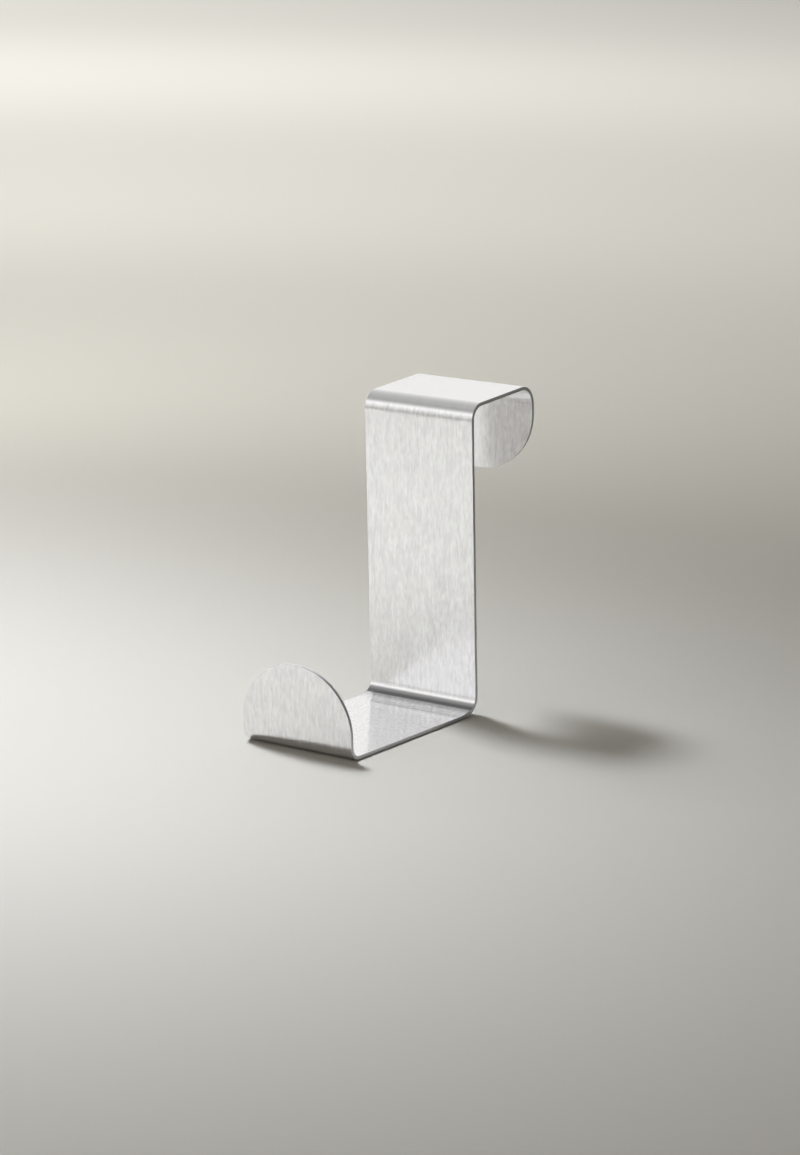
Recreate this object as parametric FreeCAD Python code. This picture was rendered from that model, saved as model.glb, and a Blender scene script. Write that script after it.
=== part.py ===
import FreeCAD, Part
import math
import os

# Over door hook: one strip of stainless sheet with five bends and two half-round ends.
# The strip hangs on a door's top edge and carries a short tray with an upturned tab.
# Frame: +Z up, +X along the strip's width, the front of the hook faces -Y.
# The origin is the middle of the flange's underside, where the door's top edge sits.

# Driving dimensions in mm and degrees. Lengths run along the middle of the sheet.
STRIP_WIDTH = 20.0      # width of the strip from end to end
SHEET = 0.6             # thickness of the sheet
DOOR_GAP = 17.2         # clear space between plate and lip, for a 16 mm door
LIP_DROP = 14.3         # lip's rounded end below the door's top edge
HEEL_DROP = 48.4        # corner of plate and dip below the door's top edge
DIP_LENGTH = 3.8        # corner of plate and dip to corner of dip and tray
DIP_FALL = 7.0          # the sheet still falls this much after the heel, up to the dip's bend
TRAY_LENGTH = 31.0      # corner of dip and tray to corner of tray and tab
TRAY_RISE = 4.0         # the tray climbs towards the tab, so that what hangs there stays
TAB_HEIGHT = 13.4       # corner of tray and tab to the tab's rounded end

# Inside radii of the five bends, from the lip to the tab
LIP_BEND = 2.9
BROW_BEND = 2.1
HEEL_BEND = 1.8
DIP_BEND = 12.0
TOE_BEND = 1.7

EDGE_BREAK = 0.12       # rounding of the sheet's edges, so that they don't cut


def normal_of(direction):
    """The direction turned a quarter to the left, seen from +X with Y to the right and Z up."""
    return FreeCAD.Vector(0, -direction.z, direction.y)


def middle_corners():
    """Corners of the sheet's middle line in the plane X = 0, from the lip's end to the tab's end."""
    side = (DOOR_GAP + SHEET) / 2
    fall = math.radians(DIP_FALL)
    rise = math.radians(TRAY_RISE)
    lip_end = FreeCAD.Vector(0, side, -LIP_DROP)
    lip_top = FreeCAD.Vector(0, side, SHEET / 2)
    brow = FreeCAD.Vector(0, -side, SHEET / 2)
    heel = FreeCAD.Vector(0, -side, -HEEL_DROP)
    dip = heel + FreeCAD.Vector(0, -math.cos(fall), -math.sin(fall)) * DIP_LENGTH
    toe = dip + FreeCAD.Vector(0, -math.cos(rise), math.sin(rise)) * TRAY_LENGTH
    tab_end = toe + FreeCAD.Vector(0, 0, TAB_HEIGHT)
    return [lip_end, lip_top, brow, heel, dip, toe, tab_end]


def bend_at(before, corner, after, inside_radius):
    """The arc that rounds one corner: its centre, start, end, middle radius and side of turn."""
    arriving = (corner - before).normalize()
    leaving = (after - corner).normalize()
    turn = arriving.getAngle(leaving)
    side = math.copysign(1, normal_of(arriving).dot(leaving))
    radius = inside_radius + SHEET / 2
    run = radius * math.tan(turn / 2)
    start = corner - arriving * run
    end = corner + leaving * run
    centre = start + normal_of(arriving) * (side * radius)
    return centre, start, end, radius, side


def face_line(corners, bends, offset):
    """Edges of one face of the sheet, at a distance to the left of the middle line."""
    first = (corners[1] - corners[0]).normalize()
    last = (corners[-1] - corners[-2]).normalize()
    edges = []
    reached = corners[0] + normal_of(first) * offset
    for centre, start, end, radius, side in bends:
        scale = (radius - side * offset) / radius
        arc_start = centre + (start - centre) * scale
        arc_end = centre + (end - centre) * scale
        outward = ((start + end) * 0.5 - centre).normalize()
        arc_middle = centre + outward * (radius * scale)
        edges.append(Part.makeLine(reached, arc_start))
        edges.append(Part.Arc(arc_start, arc_middle, arc_end).toShape())
        reached = arc_end
    finish = corners[-1] + normal_of(last) * offset
    edges.append(Part.makeLine(reached, finish))
    return edges


def folded_strip():
    """The bent strip with square ends: its side profile drawn once and run across the width."""
    corners = middle_corners()
    radii = [LIP_BEND, BROW_BEND, HEEL_BEND, DIP_BEND, TOE_BEND]
    bends = []
    for i, radius in enumerate(radii):
        bends.append(bend_at(corners[i], corners[i + 1], corners[i + 2], radius))
    left = face_line(corners, bends, SHEET / 2)
    right = face_line(corners, bends, -SHEET / 2)
    first_cap = Part.makeLine(left[0].Vertexes[0].Point, right[0].Vertexes[0].Point)
    last_cap = Part.makeLine(left[-1].Vertexes[-1].Point, right[-1].Vertexes[-1].Point)
    outline = Part.Wire(Part.__sortEdges__(left + right + [first_cap, last_cap]))
    profile = Part.Face(outline)
    profile.translate(FreeCAD.Vector(-STRIP_WIDTH / 2, 0, 0))
    return profile.extrude(FreeCAD.Vector(STRIP_WIDTH, 0, 0))


def end_trim(tip, away):
    """What the press takes off one upright end to leave a half circle. away is +1 up, -1 down."""
    radius = STRIP_WIDTH / 2
    spare = 1.0
    depth = SHEET + 2 * spare
    base = tip.z - away * radius
    low = min(base, tip.z + away * spare)
    corner = FreeCAD.Vector(-radius - spare, tip.y - depth / 2, low)
    block = Part.makeBox(2 * (radius + spare), depth, radius + spare, corner)
    centre = FreeCAD.Vector(0, tip.y - depth / 2, base)
    disc = Part.makeCylinder(radius, depth, centre, FreeCAD.Vector(0, 1, 0))
    return block.cut(disc)


def rim_edges(solid):
    """The long edges of the sheet: not the lines across a bend, not the corners through the sheet."""
    chosen = []
    for edge in solid.Edges:
        box = edge.BoundBox
        across = box.XLength > STRIP_WIDTH / 2 and box.YLength < 0.001 and box.ZLength < 0.001
        if edge.Length > 1.5 * SHEET and not across:
            chosen.append(edge)
    return chosen


def hook():
    """The finished hook: folded, both ends rounded, and its rim broken."""
    corners = middle_corners()
    strip = folded_strip()
    strip = strip.cut(end_trim(corners[0], -1))
    strip = strip.cut(end_trim(corners[-1], 1))
    return strip.makeFillet(EDGE_BREAK, rim_edges(strip))


os.makedirs("parts", exist_ok=True)
body = hook()
body.exportStep("parts/hook.step")
size = body.BoundBox
print("solids %d, valid %s, volume %.1f mm3" % (len(body.Solids), body.isValid(), body.Volume))
print("extents %.2f x %.2f x %.2f mm" % (size.XLength, size.YLength, size.ZLength))
print("Z from %.3f to %.3f, Y from %.3f to %.3f" % (size.ZMin, size.ZMax, size.YMin, size.YMax))
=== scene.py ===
import math

import bpy
from mathutils import Matrix, Vector

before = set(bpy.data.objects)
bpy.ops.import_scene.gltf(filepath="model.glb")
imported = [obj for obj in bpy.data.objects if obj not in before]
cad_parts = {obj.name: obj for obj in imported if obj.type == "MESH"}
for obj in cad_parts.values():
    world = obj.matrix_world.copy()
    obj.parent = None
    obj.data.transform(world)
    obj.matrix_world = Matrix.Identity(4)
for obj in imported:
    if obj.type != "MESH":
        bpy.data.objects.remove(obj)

# Lengths in metres, in the frame of the CAD: +Z up, the front of the hook faces -Y.

# Steel. A grain is: streaks per metre across the strip and along it, detail, seed.
FINE_GRAIN = (3700.0, 3700.0 / 4, 2.0, 3.1)
MEDIUM_GRAIN = (1900.0, 1900.0 / 5, 2.0, 7.7)
SPECKLE_GRAIN = (2400.0, 3200.0, 3.0, 5.3)
SPECKLE_GAIN = 2.2
GRAIN_REACH = (-0.3, 0.3)               # the grain's height from dark to light
GRAIN_DARK = (0.775, 0.775, 0.79, 1)
GRAIN_LIGHT = (0.985, 0.984, 1.0, 1)
GRAIN_ROUGHNESS = (0.16, 0.25)
SMOOTH_SHARE = 0.2                      # grain left on the bends and the level faces
SMOOTH_ROUGHNESS = 0.7                  # roughness there, as a share of the upright faces'
TRAY_TOP = (-0.0475, -0.0455)           # heights over which the speckles end
PAINTED_SHADE_Y, PAINTED_SHADE_Z = -0.0103, -0.0482       # a line along X in the heel, near its inner fold, along which shade is painted
PAINTED_SHADE_REACH = (0.0016, 0.002)            # distances from that line over which the painted shade ends
# painted shade: the dark colour painted into the heel's inner fold
PAINTED_SHADE_COLOUR = (0.25, 0.25, 0.255, 1)
RIM_COLOUR = (0.36, 0.36, 0.365, 1)
RIM_COVER = 0.75                        # how far the rim's colour covers the grain's
RIM_ROUGHNESS = 0.25                    # what the rim adds to the roughness
BRUSH_AXIS = (1.0, 0.02, 0.03)          # the grain runs square to it; not quite the rim's normal X

# Floor
FLOOR_TILT = math.radians(4.0)          # the tray's underside lies flat on the floor
FLOOR_POINT = (0.0, -0.0089, -0.04944)  # just below the heel
FLOOR_RADII = (0.4, 1.5, 5.0, 15.0)
FLOOR_SIDES = 96
FLOOR_COLOUR = (0.37, 0.35, 0.305, 1)

# Camera, with the photograph's frame of 800 by 1155
CAMERA_PLACE = (0.270459, -0.41854, 0.113184)
CAMERA_RIGHT = Vector((0.83356, 0.5521, -0.01926))
CAMERA_UP = Vector((-0.13756, 0.2412, 0.96068))
CAMERA_FORWARD = Vector((-0.53503, 0.79813, -0.277))
SENSOR_HEIGHT = 36.0                    # millimetres, as the lens
LENS = 100.775

# Studio walls: the sine of the elevation, and the light there
FRONT = [
    (0.0, 0.58), (0.15, 0.65), (0.24, 0.74), (0.32, 0.88), (0.4, 0.97), (0.47, 1.0),
    (0.54, 0.94), (0.61, 0.7), (0.68, 0.48), (0.76, 0.38), (0.86, 0.45),
]
BACK = [(0.0, 0.89), (0.3, 0.85), (0.53, 0.7), (0.67, 0.6), (0.75, 0.55), (0.86, 0.45)]
WALL_TINT = (1.0, 0.99, 0.97)
WALL_STRENGTH = 1.1
RIGHT_SHARE = 0.3                       # the right side's strength, as a share of the left's

# Lamps on the floor, which the metal mirrors: name, place, target, cone in degrees, radius, colour,
# power in watts
LAMPS = [
    ("a", (-0.4, 0.08, 0.5), (-0.16, -0.16, -0.05), 40.0, 0.12, (0.83, 0.885, 1.0), 35.0),
    ("b", (-0.4, 0.08, 0.5), (-0.038, -0.068, -0.047), 20.0, 0.12, (0.83, 0.885, 1.0), 60.0),
    ("h", (-0.5, -0.05, 0.45), (-0.25, 0.13, -0.06), 36.0, 0.12, (0.93, 0.96, 1.0), 17.0),
    ("d", (-0.8, 0.25, 0.8), (-0.42, 0.32, -0.07), 56.0, 0.2, (0.93, 0.96, 1.0), 37.0),
    ("e", (-1.2, 0.75, 1.1), (-0.75, 0.85, -0.1), 76.0, 0.3, (0.92, 0.95, 1.0), 72.0),
    ("f", (-2.2, 1.2, 2.0), (-1.5, 1.6, -0.15), 96.0, 0.4, (0.9, 0.94, 1.0), 430.0),
    ("g", (-1.0, -1.2, 0.8), (-0.6, -0.85, 0.0), 60.0, 0.2, (0.88, 0.93, 1.0), 110.0),
]

# Sockets of the Mix node when it mixes colours
MIX_FACTOR, MIX_FIRST, MIX_SECOND, MIX_RESULT = 0, 6, 7, 2

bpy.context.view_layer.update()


def add_node(tree, kind, place, **inputs):
    """A new node, with the named inputs set: _ in a name stands for a space."""
    node = tree.nodes.new(kind)
    node.location = place
    for name, value in inputs.items():
        node.inputs[name.replace("_", " ")].default_value = value
    return node


def add_math(tree, operation, place, *values):
    """The result of an operation on values that are numbers or other nodes' outputs."""
    node = add_node(tree, "ShaderNodeMath", place)
    node.operation = operation
    for value, socket in zip(values, node.inputs):
        if isinstance(value, float):
            socket.default_value = value
        else:
            tree.links.new(value, socket)
    return node.outputs["Value"]


def add_range(tree, value, start, end, place, course="LINEAR"):
    """The value taken from one range to another, and held past its ends."""
    node = add_node(tree, "ShaderNodeMapRange", place, From_Min=start[0], From_Max=start[1],
                    To_Min=end[0], To_Max=end[1])
    node.interpolation_type = course
    tree.links.new(value, node.inputs["Value"])
    return node.outputs["Result"]


def add_mix(tree, factor, first, second, place):
    """Two colours mixed. The second is a colour or another node's output."""
    node = add_node(tree, "ShaderNodeMix", place)
    node.data_type = "RGBA"
    tree.links.new(factor, node.inputs[MIX_FACTOR])
    tree.links.new(first, node.inputs[MIX_FIRST])
    if isinstance(second, tuple):
        node.inputs[MIX_SECOND].default_value = second
    else:
        tree.links.new(second, node.inputs[MIX_SECOND])
    return node.outputs[MIX_RESULT]


def add_grain(tree, place, grain, y):
    """Noise between 0 and 1, stretched along the strip."""
    across, along, detail, seed = grain
    scale = add_node(tree, "ShaderNodeMapping", (-1000, y), Scale=(across, along, along),
                     Location=(seed, seed * 0.37, seed * 0.71))
    tree.links.new(place, scale.inputs["Vector"])
    noise = add_node(tree, "ShaderNodeTexNoise", (-800, y), Scale=1.0, Detail=detail,
                     Roughness=0.6)
    tree.links.new(scale.outputs["Vector"], noise.inputs["Vector"])
    return noise.outputs["Fac"]


def grain_height(tree, place, height, facing, upright):
    """Streaks on the upright faces, and speckles where things rest in the tray."""
    fine = add_grain(tree, place, FINE_GRAIN, 400)
    medium = add_grain(tree, place, MEDIUM_GRAIN, 100)
    speckle = add_grain(tree, place, SPECKLE_GRAIN, 700)
    streaks = add_math(tree, "ADD", (-600, 250), fine, medium)
    streaks = add_math(tree, "SUBTRACT", (-450, 250), streaks, 1.0)
    streaks = add_math(tree, "MULTIPLY", (-300, 250), streaks, upright)
    low = add_range(tree, height, TRAY_TOP, (1.0, 0.0), (-700, 600))
    level = add_range(tree, facing.outputs["Z"], (0.9, 0.99), (0.0, 1.0), (-700, 800))
    worn = add_math(tree, "SUBTRACT", (-550, 700), speckle, 0.5)
    worn = add_math(tree, "MULTIPLY", (-500, 650), worn, SPECKLE_GAIN)
    tray = add_math(tree, "MULTIPLY", (-550, 850), low, level)
    worn = add_math(tree, "MULTIPLY", (-400, 750), worn, tray)
    return add_math(tree, "ADD", (-200, 400), streaks, worn)


def painted_shade_mask(tree, split, facing):
    """1 in the heel's inner fold, where shade is painted, and 0 elsewhere."""
    dy = add_math(tree, "SUBTRACT", (-800, -150), split.outputs["Y"], PAINTED_SHADE_Y)
    dz = add_math(tree, "SUBTRACT", (-800, -300), split.outputs["Z"], PAINTED_SHADE_Z)
    dy = add_math(tree, "POWER", (-600, -150), dy, 2.0)
    dz = add_math(tree, "POWER", (-600, -300), dz, 2.0)
    gap = add_math(tree, "SQRT", (-300, -200), add_math(tree, "ADD", (-450, -200), dy, dz))
    near = add_range(tree, gap, PAINTED_SHADE_REACH, (1.0, 0.0), (-100, -200))
    steep = add_range(tree, facing.outputs["Z"], (0.55, 0.88), (0.0, 1.0), (-100, -400))
    flat = add_range(tree, facing.outputs["Z"], (0.97, 0.998), (1.0, 0.0), (-100, -600))
    turned = add_math(tree, "MULTIPLY", (50, -500), steep, flat)
    return add_math(tree, "MULTIPLY", (100, -200), near, turned)


def steel():
    """Brushed stainless sheet, with shade painted into the heel's fold, darker and matt on its
    blanked rim.
    """
    mat = bpy.data.materials.new("brushed_sheet")
    mat.use_nodes = True
    tree = mat.node_tree
    tree.nodes.clear()
    link = tree.links.new
    out = add_node(tree, "ShaderNodeOutputMaterial", (1300, 0))
    bsdf = add_node(tree, "ShaderNodeBsdfPrincipled", (1000, 0), Metallic=1.0, Roughness=0.2,
                    Anisotropic=0.5)
    link(bsdf.outputs["BSDF"], out.inputs["Surface"])
    place = add_node(tree, "ShaderNodeTexCoord", (-1400, 0)).outputs["Object"]
    split = add_node(tree, "ShaderNodeSeparateXYZ", (-1000, -200))
    link(place, split.inputs["Vector"])
    normal = add_node(tree, "ShaderNodeNewGeometry", (-1400, -500)).outputs["Normal"]
    facing = add_node(tree, "ShaderNodeSeparateXYZ", (-1200, -500))
    link(normal, facing.inputs["Vector"])

    # The upright faces show the grain most: the bends and the level faces were rolled smoother.
    upright = add_math(tree, "ABSOLUTE", (-900, -500), facing.outputs["Y"])
    upright = add_range(tree, upright, (0.85, 0.99), (SMOOTH_SHARE, 1.0), (-700, -500))
    height = grain_height(tree, place, split.outputs["Z"], facing, upright)
    ramp = add_node(tree, "ShaderNodeValToRGB", (100, 300))
    ramp.color_ramp.elements[0].color = GRAIN_DARK
    ramp.color_ramp.elements[1].color = GRAIN_LIGHT
    link(add_range(tree, height, GRAIN_REACH, (0.0, 1.0), (-100, 300)), ramp.inputs["Fac"])

    # Painted shade: a dark band painted into the heel's inner fold.
    painted_shade = painted_shade_mask(tree, split, facing)
    rim = add_math(tree, "ABSOLUTE", (-900, -700), facing.outputs["X"])
    rim = add_range(tree, rim, (0.4, 0.9), (0.0, 1.0), (-700, -700))
    cover = add_math(tree, "MULTIPLY", (500, 400), rim, RIM_COVER)
    colour = add_mix(tree, painted_shade, ramp.outputs["Color"], PAINTED_SHADE_COLOUR, (500, 200))
    colour = add_mix(tree, cover, colour, RIM_COLOUR, (700, 200))
    link(colour, bsdf.inputs["Base Color"])

    rough = add_range(tree, height, GRAIN_REACH, GRAIN_ROUGHNESS, (300, 0))
    share = add_range(tree, upright, (SMOOTH_SHARE, 1.0), (SMOOTH_ROUGHNESS, 1.0), (200, -50))
    rough = add_math(tree, "MULTIPLY", (350, -50), rough, share)
    matt = add_math(tree, "MULTIPLY", (300, -150), rim, RIM_ROUGHNESS)
    link(add_math(tree, "ADD", (400, -100), rough, matt), bsdf.inputs["Roughness"])

    along = add_node(tree, "ShaderNodeVectorMath", (300, -500))
    along.operation = "CROSS_PRODUCT"
    along.inputs[1].default_value = BRUSH_AXIS
    link(normal, along.inputs[0])
    link(along.outputs["Vector"], bsdf.inputs["Tangent"])
    bump = add_node(tree, "ShaderNodeBump", (500, -350), Strength=0.12, Distance=0.00001)
    link(height, bump.inputs["Height"])
    link(bump.outputs["Normal"], bsdf.inputs["Normal"])
    return mat


def dress():
    """The steel on every material slot of the CAD's node."""
    mat = steel()
    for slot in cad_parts["hook"].material_slots:
        slot.material = mat


def floor_material():
    """Plain and pale, with hardly any gloss."""
    mat = bpy.data.materials.new("floor")
    mat.use_nodes = True
    bsdf = mat.node_tree.nodes["Principled BSDF"]
    bsdf.inputs["Base Color"].default_value = FLOOR_COLOUR
    bsdf.inputs["Roughness"].default_value = 0.9
    bsdf.inputs["Specular IOR Level"].default_value = 0.1
    return mat


def floor():
    """A large round floor in rings, level with the tray's underside."""
    verts, faces = [(0, 0, 0)], []
    for radius in FLOOR_RADII:
        for k in range(FLOOR_SIDES):
            angle = 2 * math.pi * k / FLOOR_SIDES
            verts.append((radius * math.cos(angle), radius * math.sin(angle), 0))
    for k in range(FLOOR_SIDES):
        faces.append((0, 1 + k, 1 + (k + 1) % FLOOR_SIDES))
    for ring in range(len(FLOOR_RADII) - 1):
        inner = 1 + ring * FLOOR_SIDES
        outer = inner + FLOOR_SIDES
        for k in range(FLOOR_SIDES):
            after = (k + 1) % FLOOR_SIDES
            faces.append((inner + k, outer + k, outer + after, inner + after))
    mesh = bpy.data.meshes.new("floor")
    mesh.from_pydata(verts, [], faces)
    mesh.materials.append(floor_material())
    obj = bpy.data.objects.new("floor", mesh)
    bpy.context.collection.objects.link(obj)
    tilt = Matrix.Rotation(-FLOOR_TILT, 4, "X")
    obj.matrix_world = Matrix.Translation(FLOOR_POINT) @ tilt


def camera():
    """The photograph's camera."""
    lens = bpy.data.cameras.new("camera")
    lens.sensor_fit = "VERTICAL"
    lens.sensor_height = SENSOR_HEIGHT
    lens.lens = LENS
    lens.clip_start = 0.01
    lens.clip_end = 50
    obj = bpy.data.objects.new("camera", lens)
    bpy.context.collection.objects.link(obj)
    turn = Matrix((CAMERA_RIGHT, CAMERA_UP, -CAMERA_FORWARD)).transposed()
    obj.matrix_world = Matrix.Translation(CAMERA_PLACE) @ turn.to_4x4()
    bpy.context.scene.camera = obj


def spot(name, place, target, cone, size, colour, power):
    """A soft lamp with a wide feathered edge; neither the camera nor the metal sees it."""
    lamp = bpy.data.lights.new(name, "SPOT")
    lamp.spot_size = math.radians(cone)
    lamp.spot_blend = 1.0
    lamp.shadow_soft_size = size
    lamp.energy = power
    lamp.color = colour
    obj = bpy.data.objects.new(name, lamp)
    bpy.context.collection.objects.link(obj)
    obj.location = place
    aim = Vector(target) - Vector(place)
    obj.rotation_euler = aim.to_track_quat("-Z", "Y").to_euler()
    obj.visible_camera = False
    obj.visible_glossy = False


def wall(tree, rise, stops, place):
    """A wall's colour over height. What lies above the last stop has that stop's light."""
    ramp = add_node(tree, "ShaderNodeValToRGB", place)
    elements = ramp.color_ramp.elements
    elements[0].position, elements[-1].position = 0.0, 1.0
    for height, light in stops:
        element = elements[0] if height == 0.0 else elements.new(height)
        element.color = [light * tint for tint in WALL_TINT] + [1]
    elements[-1].color = element.color
    tree.links.new(rise, ramp.inputs["Fac"])
    return ramp.outputs["Color"]


def studio():
    """A soft studio all round: bright walls, a darker ceiling, a darker right side."""
    world = bpy.data.worlds.new("studio")
    world.use_nodes = True
    tree = world.node_tree
    tree.nodes.clear()
    link = tree.links.new
    out = add_node(tree, "ShaderNodeOutputWorld", (1000, 0))
    sky = add_node(tree, "ShaderNodeBackground", (800, 0))
    link(sky.outputs["Background"], out.inputs["Surface"])
    place = add_node(tree, "ShaderNodeTexCoord", (-600, 0))
    split = add_node(tree, "ShaderNodeSeparateXYZ", (-400, 0))
    link(place.outputs["Generated"], split.inputs["Vector"])
    front = wall(tree, split.outputs["Z"], FRONT, (-200, 300))
    back = wall(tree, split.outputs["Z"], BACK, (-200, -300))
    turn = add_range(tree, split.outputs["Y"], (-0.25, 0.25), (0.0, 1.0), (-200, 0), "SMOOTHSTEP")
    link(add_mix(tree, turn, front, back, (200, 100)), sky.inputs["Color"])
    strengths = (WALL_STRENGTH, WALL_STRENGTH * RIGHT_SHARE)
    side = add_range(tree, split.outputs["X"], (-0.3, 0.3), strengths, (400, -150), "SMOOTHSTEP")
    link(side, sky.inputs["Strength"])
    bpy.context.scene.world = world


dress()
floor()
camera()
for lamp in LAMPS:
    spot(*lamp)
studio()
bpy.context.scene.view_settings.view_transform = "Standard"
